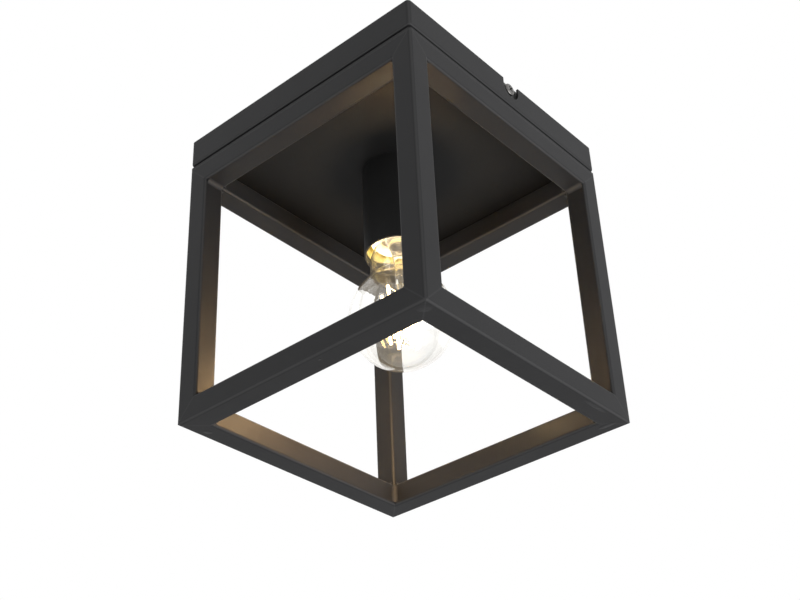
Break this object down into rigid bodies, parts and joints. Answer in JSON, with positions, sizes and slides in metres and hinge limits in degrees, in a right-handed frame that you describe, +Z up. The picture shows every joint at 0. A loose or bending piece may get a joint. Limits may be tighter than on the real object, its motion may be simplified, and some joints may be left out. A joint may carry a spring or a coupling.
{
  "type": "porch ceiling lantern",
  "caption": "Open cube ceiling lantern of square tube under a shallow box canopy, with a sleeved lamp holder and a clear lamp.",
  "frame": {"origin": "on the ceiling plane, midway between the two ceiling slots of the bracket; the lantern hangs below it", "axes": "+Z up, through the ceiling; +X to the lantern's right side, towards one side screw; -Y to its front"},
  "size_m": [0.2, 0.2, 0.2228],
  "materials": {
    "frame_coat": "matte fine-textured anthracite powder coat",
    "plate_coat": "satin anthracite powder coat",
    "seal_rubber": "matte black foam rubber",
    "canopy_coat": "matte fine-textured anthracite powder coat",
    "zinc": "bright zinc plate",
    "rivet": "plain",
    "bracket_zinc": "zinc-plated sheet steel",
    "screw_nickel": "nickel-plated",
    "nipple_steel": "zinc-plated",
    "sleeve_coat": "matte near-black powder coat",
    "liner_brass": "satin gilt",
    "porcelain": "glazed white porcelain",
    "holder_cap": "black moulded cap",
    "shell_brass": "bright",
    "contact_brass": "bright",
    "spring_steel": "plain",
    "glass_clear": "clear, thin",
    "cap_metal": "nickel-plated",
    "black_glass": "fused black glass",
    "solder": "soldered contact",
    "glass_stem": "clear",
    "filament": "yellow phosphor coating",
    "support_wire": "plain",
    "block_plastic": "moulded",
    "tag_brass": "tinned",
    "wire_brown": "insulation",
    "wire_blue": "insulation",
    "wire_earth": "green and yellow insulation"
  },
  "bodies": {
    "bracket": {"ceiling_bracket": "bracket_zinc", "clinch_nuts": "zinc", "bracket_earth_screw": "zinc"},
    "side_screw_right": {"side_screw_right": "screw_nickel"},
    "side_screw_left": {"side_screw_left": "screw_nickel"},
    "lamp": {"lamp_glass": "glass_clear", "lamp_cap": "cap_metal", "lamp_insulator": "black_glass", "lamp_tip": "solder", "lamp_stem": "glass_stem", "lamp_filaments": "filament", "lamp_supports": "support_wire"},
    "contact": {"centre_contact": "contact_brass"},
    "lantern": {"post_front_left": "frame_coat", "post_front_right": "frame_coat", "post_rear_left": "frame_coat", "post_rear_right": "frame_coat", "top_rail_front": "frame_coat", "top_rail_rear": "frame_coat", "top_rail_left": "frame_coat", "top_rail_right": "frame_coat", "bottom_rail_front": "frame_coat", "bottom_rail_rear": "frame_coat", "bottom_rail_left": "frame_coat", "bottom_rail_right": "frame_coat", "weld_fillets": "frame_coat", "plate_weld": "frame_coat", "top_plate": "plate_coat", "joint_seal": "seal_rubber", "canopy_box": "canopy_coat", "hanging_tab_right": "zinc", "hanging_tab_left": "zinc", "tab_rivets": "rivet", "plate_studs": "zinc", "spacer_washers": "zinc", "stud_washers": "zinc", "stud_nuts": "zinc", "nipple": "nipple_steel", "nipple_washer": "nipple_steel", "nipple_nut": "nipple_steel", "holder_sleeve": "sleeve_coat", "sleeve_liner": "liner_brass", "holder_body": "porcelain", "holder_cap": "holder_cap", "threaded_shell": "shell_brass", "contact_spring": "spring_steel", "holder_terminals": "contact_brass", "terminal_block": "block_plastic", "pole_tubes": "contact_brass", "pole_screws": "zinc", "block_screw": "zinc", "earth_stud": "zinc", "earth_tag": "tag_brass", "earth_nut": "zinc", "live_wire": "wire_brown", "neutral_wire": "wire_blue", "earth_wire": "wire_earth"}
  },
  "joints": [
    {"name": "lantern_drop", "type": "slide", "parent": "bracket", "child": "lantern", "axis": [0, 0, -1], "range_m": [0, 0.1]},
    {"name": "side_screw_right_turn", "type": "hinge", "parent": "bracket", "child": "side_screw_right", "pos_m": [0.0978, 0.005, -0.005], "axis": [1, 0, 0], "range_deg": [0, 900]},
    {"name": "side_screw_left_turn", "type": "hinge", "parent": "bracket", "child": "side_screw_left", "pos_m": [-0.0978, -0.005, -0.005], "axis": [-1, 0, 0], "range_deg": [0, 900]},
    {"name": "lamp_turn", "type": "hinge", "parent": "lantern", "child": "lamp", "pos_m": [0, 0, -0.08], "axis": [0, 0, -1], "range_deg": [0, 900]},
    {"name": "contact_press", "type": "slide", "parent": "lantern", "child": "contact", "axis": [0, 0, 1], "range_m": [0, 0.0015], "stiffness_N_per_m": 2000, "springref_m": -0.001, "deforming": ["contact_spring"]}
  ]
}
